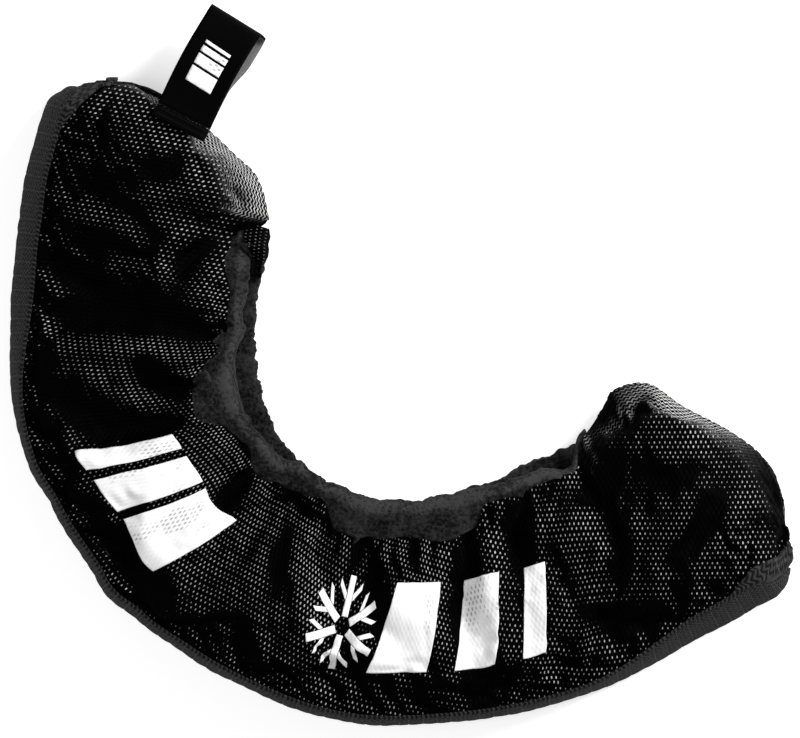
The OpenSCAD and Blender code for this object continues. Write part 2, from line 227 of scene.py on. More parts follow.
def rowsAtRim(rim):  # row places from places on the rim
    u = np.linspace(0, lastRow, 900)
    return np.interp(rim, rowAt(u)[:, 1], u)


def evenRows(count, u0=0.0, u1=lastRow, at=0.55):  # row places spaced evenly along the cover
    u = np.linspace(u0, u1, 1200)
    st = Stations(u)
    line = st.start + (st.end - st.start) * at
    run = np.concatenate([[0], np.cumsum(np.hypot(*np.diff(line, axis=0).T))])
    return np.interp(np.linspace(0, run[-1], count), run, u)


def wallGrid(st, side, m, d=0.0, soften=0.97):
    # m is the share of the way across, (stations, columns); past 1 it runs on over the casing
    h = st.height[:, None]
    o = st.open[:, None]
    t = st.tilt[:, None]
    start = t if side == "near" else t * d / h
    stop = st.wallWidth(side)[:, None] - d * (1 - o)
    inner = np.clip(m, 0, 1)
    rounded = np.sqrt(np.maximum(0, 1 - (inner * soften) ** 3))
    endZ = st.rimZ(side, d)[:, None]
    crown = mix(cover["crown"], cover["flatCrown"], o) * np.clip(st.width[:, None] / 60, 0, 1)
    if side == "near":
        top = h - d + crown * 4 * inner * (1 - inner)
        z = endZ + (top - endZ) * rounded
    else:
        z = d + (endZ - d) * (1 - rounded)
    return st.place(mix(start, stop, m), z)


def soleGrid(s, n, z):  # points on the leaning band of the sole: n inward from its outer face
    xy, h = edgeLine(s)
    return withZ(xy + inward(h) * (n + tilt(s) * z / height(s))[..., None], z)


def normals(grid):
    return unit(np.cross(np.gradient(grid, axis=0), np.gradient(grid, axis=1)))


def bumps(places, pitch, seed, wander=0.35):  # smooth uneven waves along a line, about -1 to 1
    draw = np.random.default_rng(seed)
    total = np.zeros_like(places, dtype=float)
    for scale, weight in ((1.0, 1.0), (0.57, 0.55), (0.31, 0.3)):
        knots = np.arange(places.min() - 4 * pitch, places.max() + 4 * pitch, pitch * scale)
        knots = knots + draw.uniform(-wander, wander, len(knots)) * pitch * scale
        values = draw.uniform(-1, 1, len(knots))
        i = np.clip(np.searchsorted(knots, places) - 1, 1, len(knots) - 3)
        f = np.clip((places - knots[i]) / (knots[i + 1] - knots[i]), 0, 1)
        total += weight * mix(values[i], values[i + 1], smooth(f))
    return total / 1.3


def onCut(sole, across):  # the place on the flat cloth, which is cut to a much wider curve than it is held in
    r = cover["cutR"]
    a = (sole - soleLen / 2) / r
    return np.stack([(r - across) * np.sin(a), r - (r - across) * np.cos(a)], -1)


def layOver(plan, cut, pick):  # turn and move the plan so that it lies on the cut
    a, b = plan[pick], cut[pick]
    svd = np.linalg.svd((a - a.mean(0)).T @ (b - b.mean(0)))
    return (plan - a.mean(0)) @ (svd[0] @ svd[2]) + b.mean(0)


def noise2(a, b, pitch, seed):  # smooth noise on two places, about -1 to 1
    draw = np.random.default_rng(seed)
    x, y = a / pitch, b / pitch
    x, y = x - x.min(), y - y.min()
    table = draw.uniform(-1, 1, (int(x.max()) + 3, int(y.max()) + 3))
    i, j = np.floor(x).astype(int), np.floor(y).astype(int)
    f, g = smooth(x - i), smooth(y - j)
    return mix(mix(table[i, j], table[i + 1, j], f), mix(table[i, j + 1], table[i + 1, j + 1], f), g)


def finer(grid, times):  # a grid with more rows and columns, through the same points
    for axis in (0, 1):
        g = np.moveaxis(grid, axis, 0)
        n = len(g)
        at = np.linspace(0, n - 1, (n - 1) * times + 1)
        i = np.clip(np.floor(at).astype(int), 0, n - 2)
        f = (at - i).reshape(-1, *([1] * (g.ndim - 1)))
        a, b = g[np.maximum(i - 1, 0)], g[i]
        c, d = g[i + 1], g[np.minimum(i + 2, n - 1)]
        grid = np.moveaxis(catmull(a, b, c, d, f), 0, axis)
    return grid


def pickGrid(grid, i, j):  # points between a grid's points, at fractional row and column
    i0, j0 = (np.clip(np.floor(v).astype(int), 0, n - 2) for v, n in zip((i, j), grid.shape))
    f, g = (i - i0)[..., None], (j - j0)[..., None]
    return mix(mix(grid[i0, j0], grid[i0 + 1, j0], f), mix(grid[i0, j0 + 1], grid[i0 + 1, j0 + 1], f), g)


def addPiece(name, data):
    piece = bpy.data.objects.new(name, data)
    bpy.context.scene.collection.objects.link(piece)
    return piece


def meshPiece(name, points, faces, cloth=None, marks=None):
    mesh = bpy.data.meshes.new(name)
    mesh.from_pydata((np.asarray(points).reshape(-1, 3) * mm).tolist(), [], faces)
    if cloth is not None:  # the place on the flat cloth, in metres
        flat = np.asarray(cloth, float).reshape(-1, 2) * mm
        loops = np.zeros(len(mesh.loops), int)
        mesh.loops.foreach_get("vertex_index", loops)
        mesh.uv_layers.new(name="cloth").data.foreach_set("uv", flat[loops].ravel())
    for key, values in (marks or {}).items():
        layer = mesh.attributes.new(key, "FLOAT", "POINT")
        layer.data.foreach_set("value", np.asarray(values, np.float32).ravel())
    mesh.shade_smooth()
    return addPiece(name, mesh)


def gridFaces(rowsN, colsN, ring=False):
    i, j = np.meshgrid(np.arange(rowsN - 1), np.arange(colsN if ring else colsN - 1), indexing="ij")
    k = (j + 1) % colsN
    here, below = i * colsN, (i + 1) * colsN
    return np.stack([here + j, below + j, below + k, here + k], -1).reshape(-1, 4)


def sheetPiece(name, grid, cloth, marks=None, flip=False):
    faces = gridFaces(*grid.shape[:2])
    return meshPiece(name, grid, (faces[:, ::-1] if flip else faces).tolist(), cloth, marks)


def tubePiece(name, rings, cloth):  # closed rings with a flat fan at each end
    count, around = rings.shape[:2]
    faces = gridFaces(count, around, ring=True).tolist()
    first, last = count * around, count * around + 1
    for k in range(around):
        n = (k + 1) % around
        faces += [[first, k, n], [last, (count - 1) * around + n, (count - 1) * around + k]]
    points = np.concatenate([rings.reshape(-1, 3), np.stack([rings[0].mean(0), rings[-1].mean(0)])])
    flat = np.concatenate([cloth.reshape(-1, 2), np.stack([cloth[0].mean(0), cloth[-1].mean(0)])])
    return meshPiece(name, points, faces, flat)


def selectOnly(*pieces):
    bpy.ops.object.select_all(action="DESELECT")
    for piece in pieces:
        piece.select_set(True)
    bpy.context.view_layer.objects.active = pieces[0]


def applyAll(piece):
    selectOnly(piece)
    for modifier in list(piece.modifiers):
        bpy.ops.object.modifier_apply(modifier=modifier.name)
    piece.select_set(False)


def editAll(piece, change, **settings):  # one change to the whole mesh, in edit mode
    selectOnly(piece)
    bpy.ops.object.mode_set(mode="EDIT")
    bpy.ops.mesh.select_all(action="SELECT")
    change(**settings)
    bpy.ops.object.mode_set(mode="OBJECT")
    piece.select_set(False)


def thicken(piece, thickness, side=-1.0, backFinish=0):  # the surface stays, and the wall grows behind it
    solid = piece.modifiers.new("wall", "SOLIDIFY")
    solid.material_offset = backFinish
    solid.thickness = thickness * mm
    solid.offset = side
    solid.use_even_offset = False
    applyAll(piece)


def settle(piece):  # nothing sinks into the floor
    co = np.empty(len(piece.data.vertices) * 3)
    piece.data.vertices.foreach_get("co", co)
    co[2::3] = np.maximum(co[2::3], cover["floorGap"] * mm)
    piece.data.vertices.foreach_set("co", co)
    piece.data.update()


def crossesBend(piece):
    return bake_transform(piece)



class Field:  # a socket that can be used in sums
    def __init__(self, finish, socket):
        self.finish, self.socket = finish, socket

    def sum(self, operation, *others, clamp=False):
        settings = dict(operation=operation, use_clamp=clamp)
        return self.finish.node("ShaderNodeMath", settings, dict(enumerate((self, *others))))

    def __add__(self, other):
        return self.sum("ADD", other)

    def __sub__(self, other):
        return self.sum("SUBTRACT", other)

    def __mul__(self, other):
        return self.sum("MULTIPLY", other)

    def __truediv__(self, other):
        return self.sum("DIVIDE", other)

    def __rsub__(self, other):
        return self * -1 + other

    __radd__, __rmul__ = __add__, __mul__

    def clamped(self):
        return self.sum("ADD", 0.0, clamp=True)

    def wave(self):  # 1 at every whole number, -1 half way between
        return (self * (2 * math.pi)).sum("COSINE")


class Finish:  # one material, built up node by node
    def __init__(self, name, **settings):
        self.material = bpy.data.materials.new(name)
        self.material.use_nodes = True
        self.tree = self.material.node_tree
        self.surface = self.tree.nodes["Principled BSDF"]
        for key, value in settings.items():
            self.surface.inputs[key].default_value = value

    def node(self, kind, settings=None, inputs=None, out=0):
        node = self.tree.nodes.new(kind)
        for key, value in (settings or {}).items():
            setattr(node, key, value)
        for key, value in (inputs or {}).items():
            if isinstance(value, Field):
                self.tree.links.new(value.socket, node.inputs[key])
            else:
                node.inputs[key].default_value = value
        return Field(self, node.outputs[out])

    def cloth(self, along, across):  # the place on the flat cloth, in threads
        place = self.node("ShaderNodeUVMap", dict(uv_map="cloth"))
        scaled = self.node("ShaderNodeVectorMath", dict(operation="MULTIPLY"),
                           {0: place, 1: (1 / (along * mm), 1 / (across * mm), 0)})
        x, y = (self.node("ShaderNodeSeparateXYZ", {}, {0: scaled}, out=axis) for axis in (0, 1))
        return x, y, scaled

    def noise(self, scale, detail=2.0, rough=0.5, vector=None):
        where = vector or self.node("ShaderNodeTexCoord", out=3)
        return self.node("ShaderNodeTexNoise", {}, {"Vector": where, "Scale": scale, "Detail": detail,
                                                    "Roughness": rough})

    def step(self, value, low, high):
        return self.node("ShaderNodeMapRange", dict(interpolation_type="SMOOTHSTEP"),
                         {0: value, 1: low, 2: high, 3: 0.0, 4: 1.0})

    def mark(self, name):
        return self.node("ShaderNodeAttribute", dict(attribute_name=name), out=2)

    def feed(self, socket, value):
        self.tree.links.new(value.socket, self.surface.inputs[socket])

    def dress(self, share, dark, light, relief, distance, strength):  # greys by share, bumps by relief
        self.feed("Base Color", self.node("ShaderNodeMix", dict(data_type="RGBA"),
                                          {0: share, 6: grey(dark), 7: grey(light)}, out=2))
        self.feed("Normal", self.node("ShaderNodeBump", {}, {"Height": relief, "Distance": distance * mm,
                                                              "Strength": strength}))
        return self.material


def grey(level):
    return (level, level, level, 1)


def wovenPattern(finish):  # staggered threads that join into zigzags where they are stretched
    along, across, place = finish.cloth(1.6, 3.1)
    wander = finish.noise(0.9, 2.0, 0.5, place) - 0.5
    a, b = along + wander * 0.22, across + wander * 0.14
    return a.wave() * b.wave() + (b - 0.25).wave() * 0.16, wander, place


def shellFinish():
    f = Finish("wovenShell", **{"Roughness": 0.5, "Specular IOR Level": 0.012})
    pattern, wander, place = wovenPattern(f)
    # painted light: the painted level of light and shade on each wall sets how bright the glints are
    level = f.mark("paintedLight")
    patch = f.noise(0.2, 3.0, 0.6, place)
    bright = (level * 1.25 + patch * 0.7 - 0.52).clamped()
    threshold = 0.94 - bright * 0.4
    # painted highlight: grey flecks on the thread crowns stand in for the glints of the black weave, dimmer
    # and fewer where painted shade falls
    glintFleck = f.step(pattern, threshold, threshold + 0.16)
    # painted highlight: over the ridges the light catches whole rows, painted as fine zigzag lines
    zigzag = (f.mark("run") / 1.75).wave() * 0.22
    lines = (f.mark("toRidge") / 1.15 + zigzag + wander * 0.35).wave()
    line = f.step(lines + f.noise(0.9, 1.0, 0.5, place) * 0.8 - 0.4, 0.05, 0.75)
    ridgeHighlight = (f.mark("ridge") * (level * 1.6 - 0.1)).clamped()
    spark = f.noise(1.3, 1.0, 0.5, place)
    paintedHighlight = glintFleck * f.step(bright, 0.1, 0.3) * (spark * 0.9 + 0.2) * (bright * 0.9 + 0.25)
    paintedHighlight = (paintedHighlight * (1 - ridgeHighlight) + line * ridgeHighlight * (bright * 0.8 + 0.1)).clamped()
    f.feed("Roughness", 0.62 - paintedHighlight * 0.25)
    # painted highlight: the glints are painted as grey in the black base colour
    return f.dress(paintedHighlight, 0.0004, 0.55, pattern + f.noise(6.0, 2.0, 0.6, place) * 0.3, 0.2, 0.7)


def fleeceFinish():
    f = Finish("fleecePile", **{"Roughness": 0.95, "Specular IOR Level": 0.01, "Sheen Weight": 0.1,
                                "Sheen Roughness": 0.6, "Sheen Tint": grey(0.4)})
    tufts = f.noise(900.0, 3.0, 0.65)
    soft = f.noise(160.0, 2.0, 0.5)
    along, across, place = f.cloth(1.0, 1.0)
    # painted highlight: a lighter band along the upper casing's crest, where light falls on its top
    crest = f.step(across, 14.5, 17.5) * (1 - f.step(across, 17.5, 20.5))
    pile = f.step(tufts * 0.62 + soft * 0.38, 0.36, 0.66)
    share = pile * (crest * 0.8 + 0.7) + crest * 0.25
    return f.dress(share, 0.0012, 0.04, tufts + soft * 0.8, 0.7, 0.9)


def webbingFinish():
    f = Finish("knitWebbing", **{"Roughness": 0.85, "Specular IOR Level": 0.02, "Sheen Weight": 0.04,
                                 "Sheen Roughness": 0.5, "Sheen Tint": grey(0.4)})
    along, across, place = f.cloth(1.5, 2.3)
    wander = f.noise(0.6, 2.0, 0.5, place) - 0.5
    knit = (across.wave() * 0.32 + along + wander * 0.4).wave() * 0.5 + 0.5
    bars = f.step((along * (1.5 / 4.5) + wander * 0.12).wave(), 0.86, 1.0)
    tone = knit * (f.noise(1.6, 2.0, 0.6, place) * 1.3 + 0.1) * 0.75 + 0.06 + bars * 0.28
    return f.dress(tone, 0.0015, 0.055, knit + bars * 0.6 + f.noise(3.0, 2.0, 0.6, place) * 0.5, 0.35, 0.9)


def ribbonFinish(name, dark, light):
    f = Finish(name, **{"Roughness": 0.55, "Specular IOR Level": 0.015})
    along, across, place = f.cloth(0.55, 0.55)
    twill = (along + across).wave() * 0.5 + 0.5
    return f.dress(twill * 0.5 + f.noise(0.4, 2.0, 0.5, place) * 0.5, dark, light, twill, 0.08, 0.5)


def printFinish():
    f = Finish("whiteInk", **{"Roughness": 0.6, "Specular IOR Level": 0.3})
    pattern, wander, place = wovenPattern(f)
    patch = f.step(f.noise(0.13, 2.0, 0.6, place), 0.56, 0.66)
    worn = f.step(pattern, 0.25, 0.6) * patch
    return f.dress(worn, 0.86, 0.4, pattern, 0.1, 0.35)


def threadFinish():
    f = Finish("blackThread", **{"Roughness": 0.6, "Specular IOR Level": 0.02})
    twist = f.noise(2600.0, 1.0, 0.5)
    return f.dress(twist, 0.0006, 0.004, twist, 0.1, 0.5)


def elasticFinish():
    f = Finish("elasticBand", **{"Roughness": 0.7, "Specular IOR Level": 0.2})
    along, across, place = f.cloth(0.9, 0.8)
    rib = across.wave() * 0.5 + 0.5
    return f.dress(rib, 0.01, 0.03, rib, 0.15, 0.6)


finishes = dict(
    shell=shellFinish(), fleece=fleeceFinish(), webbing=webbingFinish(),
    # the loop's inner face: the same black ribbon made grey, a painted sheen of light on the satin
    ribbon=ribbonFinish("satinRibbon", 0.0003, 0.0016), ribbonBackPaintedSheen=ribbonFinish("ribbonBackPaintedSheen", 0.08, 0.2),
    ink=printFinish(), thread=threadFinish(), elastic=elasticFinish())

# cloth that buckles where its edge is gathered: up, down and along cap how far it may move
simulation = dict(scale=10.0, frames=26, grow=0.055, growRim=0.10, up=3.2, down=1.8, along=2.0, uneven=0.12)


def buckle(name, grid, hold, loose, floor=None):
    # hold: 1 where the cloth is sewn; loose: how much more cloth there is than room for it
    cfg = simulation
    mesh = bpy.data.meshes.new(name)
    uneven = np.random.default_rng(3).normal(0, cfg["uneven"], grid.shape[:2])
    start = grid + normals(grid) * uneven[..., None] * (1 - hold[..., None])
    mesh.from_pydata((start.reshape(-1, 3) * mm * cfg["scale"]).tolist(), [],
                     gridFaces(*grid.shape[:2]).tolist())
    piece = addPiece(name, mesh)
    for label, weights in (("sewn", hold), ("loose", loose)):
        group = piece.vertex_groups.new(name=label)
        for k, w in enumerate(weights.ravel().tolist()):
            if w > 0:
                group.add([k], w, "REPLACE")
    cloth = piece.modifiers.new("cloth", "CLOTH")
    settings = dict(
        quality=6, mass=0.3, air_damping=2, tension_stiffness=20, compression_stiffness=20,
        shear_stiffness=8, bending_stiffness=0.8,
        vertex_group_mass="sewn", pin_stiffness=5, vertex_group_shrink="loose",
        shrink_min=-cfg["grow"], shrink_max=-cfg["growRim"])
    for key, value in settings.items():
        setattr(cloth.settings, key, value)
    cloth.settings.effector_weights.gravity = 0
    cloth.collision_settings.use_collision = False
    cloth.point_cache.frame_start, cloth.point_cache.frame_end = 1, cfg["frames"]
    scene = bpy.context.scene
    for number in range(1, cfg["frames"] + 1):
        scene.frame_set(number)
    done = piece.evaluated_get(bpy.context.evaluated_depsgraph_get()).to_mesh()
    out = np.zeros(grid.size)
    done.vertices.foreach_get("co", out)
    scene.frame_set(1)
    bpy.data.objects.remove(piece)
    out = out.reshape(grid.shape) / (mm * cfg["scale"])
    n = normals(grid)
    moved = out - grid
    lift = (moved * n).sum(-1, keepdims=True)
    slide = moved - lift * n
    size = np.linalg.norm(slide, axis=-1, keepdims=True)
    slide = slide * np.minimum(1, cfg["along"] / np.maximum(size, 1e-6))
    return np.clip(lift, -cfg["down"], cfg["up"])[..., 0], slide


# the ribbon tab on the heel hood
ribbon = dict(width=18, length=35.5, thick=0.8, gap=6.6, stub=4, foldGap=0.6, heading=63, droop=18,
              slant=1.6, askew=1.7, seat=0.05, clear=0.35, swing=11,
              printLift=0.16, bars=[(0.3, 5), (0.48, 3.4), (0.61, 2), (0.7, 1)])


def tabFrame():  # where the tab's sewn end starts, and its three directions, from the joint at its fold
    a, d = math.radians(ribbon["heading"]), math.radians(ribbon["droop"])
    along = np.array([math.cos(a) * math.cos(d), math.sin(a) * math.cos(d), -math.sin(d)])
    side = np.array([-math.sin(a), math.cos(a), 0])
    up = np.cross(along, side)
    fold = np.array(tabJoint["pos_m"]) / mm
    root = fold - along * (ribbon["stub"] + ribbon["foldGap"] / 2) - up * (ribbon["thick"] + ribbon["seat"])
    return root, along, side, up


tabRoot, tabAlong, tabSide, tabUp = tabFrame()


def onTab(x, y, z):  # x along the ribbon, y across it, z off it
    return tabRoot + x[..., None] * tabAlong + y[..., None] * tabSide + z[..., None] * tabUp


def ribbonBelly(f):  # how far the ribbon's outer face bellies off the middle of its loop
    bow = np.sin(math.pi * np.clip(0.54 * f + 0.02, 0, 1)) ** 1.6
    return ribbon["thick"] + ribbon["seat"] + ribbon["gap"] / 2 * bow


def giveWay(surface):  # the hood dips where the ribbon lies on it, down to where the tab swings
    rel = surface - tabRoot
    x, y, z = rel @ tabAlong, rel @ tabSide, rel @ tabUp
    past = np.clip(x - ribbon["stub"], 0, None)
    run = ribbon["length"] - ribbon["gap"] / 2
    roof = -ribbonBelly(past / run) - ribbon["clear"] - past * math.tan(math.radians(ribbon["swing"]))
    under = smooth((ribbon["width"] / 2 + 5 - np.abs(y)) / 4) * smooth((x + 6) / 5)
    return surface - (np.clip(z - roof, 0, None) * under)[..., None] * tabUp


upperWall = dict(
    stations=156, columns=27, finer=3, seed=11,
    # how far the cut edge runs past the start of the casing: place along the sole, distance
    edge=[(20, 0), (30, -1), (37, -3), (55, 1.5), (82, 3), (90, -4), (101, -9), (118, -10), (133, -1),
          (146, 2), (166, -1), (180, 3), (192, 5), (206, 7.5), (221, 0), (243, 1), (262, 2), (288, -2),
          (298, 0), (309, 6), (323, 5), (347, 4.5), (357, 0), (365, 0)],
    # soft folds: place along the sole and distance from it at each end, depth, half width
    folds=[(15, 29, 4, 43, 2.0, 5), (46, 2, 56, 26, 2.2, 4), (66, 16, 76, 62, 3.2, 8),
           (30, 62, 52, 50, 2.2, 5), (92, 12, 117, 44, 2.8, 6), (86, 40, 107, 55, 2.0, 5),
           (110, 17, 123, 31, 1.6, 4),
           (143, 2, 172, 10, 2.4, 5), (178, 63, 211, 66, 1.8, 4), (246, 44, 262, 24, 2.4, 5),
           (267, 60, 269, 46, 1.8, 3.5), (297, 58, 291, 3, 3.0, 6), (320, 64, 313, 36, 2.6, 4.5),
           (337, 58, 353, 51, 1.8, 4), (352, 49, 344, 29, 1.8, 4), (372, 50, 386, 42, 2.2, 5),
           (389, 37, 366, 21, 2.6, 5), (393, 44, 394, 8, 2.4, 6), (310, 34, 308, 18, 1.6, 4),
           (198, 52, 206, 30, 1.8, 5), (228, 66, 236, 48, 2.0, 4.5), (160, 58, 170, 38, 1.8, 5),
           (330, 22, 356, 8, 1.6, 5), (24, 12, 34, 40, 1.2, 5)],
)


def foldDepth(sole, across, folds):  # 0 off the folds, 1 at the bottom of one, and the depth in millimetres
    depth = np.zeros_like(sole)
    lip = np.zeros_like(sole)
    for s0, n0, s1, n1, deep, half in folds:
        a = np.array([s0, n0], float)
        run = np.array([s1, n1], float) - a
        length = np.hypot(*run)
        rel = np.stack([sole - s0, across - n0], -1)
        t = np.clip((rel @ run) / length ** 2, 0, 1)
        bow = 0.12 * length * np.sin(math.pi * t) * np.sign(math.sin(s0 * 1.7 + n0))
        off = rel - t[..., None] * run
        side = (rel[..., 0] * -run[1] + rel[..., 1] * run[0]) / length
        away = np.where((t > 0) & (t < 1), np.abs(side - bow), np.hypot(off[..., 0], off[..., 1]))
        fade = 0.35 + 0.65 * np.sin(math.pi * np.clip(t, 0.02, 0.98)) ** 0.6
        depth = np.maximum(depth, deep * fade * np.exp(-(away / half) ** 2 * 1.6))
        lip = np.maximum(lip, 0.45 * deep * fade * np.exp(-((away - 1.9 * half) / half) ** 2 * 2))
    return depth, lip


def gathers(sole, toEdge, reach, seed):  # small pleats that run down from a gathered edge
    wave = bumps(sole, 7.5, seed) + 0.4 * bumps(sole, 3.4, seed + 1)
    return wave * np.exp(-np.clip(toEdge, 0, None) / reach)


def edgeProfile(st, points):
    return eased(points, st.rim) * st.share


# how the walls lie: looseness near the mouth, pleats, fine unevenness, and how flat the hoods' ridges are
drape = dict(looseReach=34, quickLift=1.1, pleat=1.5, pleatReach=11, uneven=0.22, sewnReach=4, hoodEase=0.92)


def wallSurface(side, cfg):
    st = Stations(evenRows(cfg["stations"]))
    width = st.wallWidth(side)
    reach = 1 + edgeProfile(st, cfg["edge"]) / width
    m = np.linspace(0, 1, cfg["columns"])[None] * reach[:, None]
    grid = wallGrid(st, side, m)
    hold = np.zeros(grid.shape[:2])
    hold[[0, -1]] = 1
    hold[:, [0, -1]] = 1
    hold[:, 1] = 0.4
    toRim = (reach[:, None] - m) * width[:, None]
    way = 1 if side == "near" else -1
    loose = np.clip(1 - toRim / drape["looseReach"], 0, 1) * st.open[:, None]
    lift, slide = buckle(side + "Cloth", grid, hold, loose)
    lift = lift * way * np.sign(normals(grid)[..., 2].mean())

    def fine(values):  # the same values on the finer grid
        return finer((values + 0 * m)[..., None], cfg["finer"])[..., 0]

    across, sole, rim = fine(m * width[:, None]), fine(st.sole[:, None]), fine(st.rim[:, None])
    edge, shared, opened = fine(toRim), fine(st.share[:, None]), fine(st.open[:, None])
    steps = np.linalg.norm(np.diff(grid, axis=1), axis=-1)
    cut = onCut(sole, fine(np.concatenate([np.zeros((len(steps), 1)), np.cumsum(steps, 1)], 1)))
    base = finer(grid + slide, cfg["finer"])
    outward = normals(base)
    outward = outward * np.sign(outward[..., 2].mean()) * way
    depth, lip = foldDepth(sole, across, cfg["folds"])
    pleats = drape["pleat"] * gathers(rim, edge, drape["pleatReach"], cfg["seed"] + 3)
    pleats = pleats * (0.25 + 0.75 * opened)
    uneven = drape["uneven"] * noise2(sole, across, 4.2, cfg["seed"] + 5)
    sewn = smooth(across / drape["sewnReach"])
    total = (fine(lift) + pleats * smooth(edge / 1.5) + uneven) * sewn + (lip - depth) * smooth(across / 6)
    total = total * (1 - drape["hoodEase"] * smooth(1.3 - edge / 8) * (1 - opened))
    surface = base + outward * total[..., None]
    if side == "far":
        surface[..., 2] = np.maximum(surface[..., 2], cover["floorGap"])
    else:
        surface = giveWay(surface)
    # over the two hoods the flat cloth is turned so that its threads run as they are seen
    plan = surface[..., :2]
    heel = layOver(plan, cut, (sole > 25) & (sole < 62))
    toe = layOver(plan, cut, (sole > soleLen - 66) & (sole < soleLen - 26))
    cut = mix(cut, heel, smooth((62 - sole) / 36)[..., None])
    cut = mix(cut, toe, smooth((sole - soleLen + 66) / 36)[..., None])
    facing = normals(surface)
    facing = facing * np.sign((facing * outward).sum(-1, keepdims=True).mean())
    return dict(st=st, surface=surface, facing=facing, sole=sole, across=across, edge=edge, depth=depth,
                reach=reach, width=width, cut=cut, shared=shared)


def paintedLight(wall):  # painted light and shade: 0 in the folds, painted shade, and 1 on what is stretched towards the light, painted highlight, with random patches
    light = unit(np.array([0.66, 0.42, 0.62]))
    facing = np.clip(wall["facing"] @ light, 0, 1)
    # painted highlight where the wall faces the light, painted shade down in the folds
    level = 0.46 + 1.0 * (facing - light[2]) - 0.36 * wall["depth"]
    for pitch, seed, share in ((17, 41, 0.12), (6, 42, 0.08)):
        level += share * noise2(wall["sole"], wall["across"], pitch, seed)
    return np.clip(level, 0, 1)


def marksOf(wall):  # what the weave needs to know about a wall, with the painted light and shade for its glints
    st = wall["st"]
    run = np.concatenate([[0], np.cumsum(np.linalg.norm(np.diff(st.end, axis=0), axis=1))])
    fine = np.linspace(0, len(run) - 1, len(wall["edge"]))
    along = np.interp(fine, np.arange(len(run)), run)[:, None] + 0 * wall["edge"]
    # 1 where a hood rolls over its ridge
    band = 14 + 5 * noise2(wall["sole"], 0 * wall["across"], 21, 43)
    ridge = smooth(1.15 - wall["edge"] / band) * (1 - smooth(wall["shared"] * 3))
    ridge = ridge * smooth(wall["across"] / 12)
    return dict(paintedLight=paintedLight(wall), ridge=ridge, toRidge=wall["edge"], run=along)


def shellPiece(side, cfg):
    wall = wallSurface(side, cfg)
    surface = wall["surface"]
    flip = (normals(surface)[..., 2].mean() > 0) == (side == "far")
    piece = sheetPiece(side + "Shell", surface, wall["cut"], marksOf(wall), flip=flip)
    thicken(piece, cover["clothT"])
    return piece, wall


def makeUpperWall():
    piece, wall = shellPiece("near", upperWall)
    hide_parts("near_panel_heel", "near_panel_toe")
    return crossesBend(piece), wall


lowerWall = dict(
    stations=140, columns=24, finer=2, seed=23,
    edge=[(20, 0), (60, 1), (110, -1), (160, 1), (220, 0), (290, 1), (365, 0)],
    folds=[(20, 20, 30, 56, 1.4, 6), (70, 10, 80, 50, 1.6, 6), (120, 55, 128, 24, 1.6, 5),
           (170, 8, 182, 44, 1.4, 6), (230, 50, 240, 20, 1.6, 6), (290, 12, 300, 54, 1.6, 6),
           (350, 20, 372, 50, 1.6, 6)],
)


def makeLowerWall():
    piece, wall = shellPiece("far", lowerWall)
    settle(piece)
    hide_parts("far_panel_heel", "far_panel_toe")
    return crossesBend(piece), wall


nearShell, nearWall = makeUpperWall()
farShell, farWall = makeLowerWall()
walls = dict(near=(nearWall, upperWall), far=(farWall, lowerWall))
print("walls made")


def onWall(s, n, lift):  # a place on the upper wall's finished surface
    wall, cfg = walls["near"]
    st = wall["st"]
    row = np.interp(s, st.sole, np.arange(len(st.sole))) * cfg["finer"]
    start, stop, reach = (np.interp(s, st.sole, v) for v in (st.tilt, wall["width"], wall["reach"]))
    column = (n - start) / (stop - start) / reach * (cfg["columns"] - 1) * cfg["finer"]
    return pickGrid(wall["surface"], row, column) + pickGrid(wall["facing"], row, column) * lift


# webbing of the sole, which wraps on to the upper wall at both ends
webbing = dict(pitch=4.5, rib=0.22, stations=520, columns=26, foldColumns=8, foot=0.9, bulge=1.0, thick=1.0,
               heelWrap=6.5, toeWrap=5.0, tongueRows=2.7, tongueStations=60, tongueRun=24, underReach=1.4)


def ribs(along):  # the cross ribs of the webbing
    return webbing["rib"] * (np.abs(np.sin(math.pi * along / webbing["pitch"])) ** 0.5 - 0.6)


def overWall(st, side, back, lift):  # points on a finished wall, a distance back from its ridge
    wall, cfg = walls[side]
    row = np.interp(st.u, wall["st"].u, np.arange(len(wall["st"].u)) * cfg["finer"])[:, None] + 0 * back
    column = (1 - back / st.width[:, None]) * (cfg["columns"] - 1) * cfg["finer"]
    xyz = pickGrid(wall["surface"], row, column)
    xyz += pickGrid(wall["facing"], row, column) * (lift + 0 * back)[..., None]
    xyz[..., 2] = np.maximum(xyz[..., 2], 0.1)
    return xyz


def tongueGrid(foot):  # the webbing's end runs on along the heel hood's ridge and tapers out
    cfg = webbing
    count = cfg["tongueStations"]
    st = Stations(np.linspace(cfg["tongueRows"], 0, count))
    left = smooth(np.linspace(0, 1, count))[:, None]
    a = np.linspace(-1, 1, foot.shape[1])[None]
    reach = np.where(a > 0, cfg["heelWrap"] + 0.4, cfg["underReach"]) * left * np.abs(a) ** 1.3 + 0.02
    top, under = overWall(st, "near", reach, 0.7 * left), overWall(st, "far", reach, 0.2 * left)
    tongue = np.where(a[..., None] > 0, top, under)
    ridge = withZ(st.end, st.ridge)[:, None]
    tongue = tongue + (ridge - tongue) * (0.6 * np.exp(-(a / 0.25) ** 2))[..., None]
    tongue[..., :2] += st.way[:, None] * (0.5 * left * (1 - np.abs(a)))[..., None]
    share = smooth((np.arange(count) / (count - 1) - 0.55) / 0.45)[:, None, None]
    return mix(tongue, foot, share)[:-1]


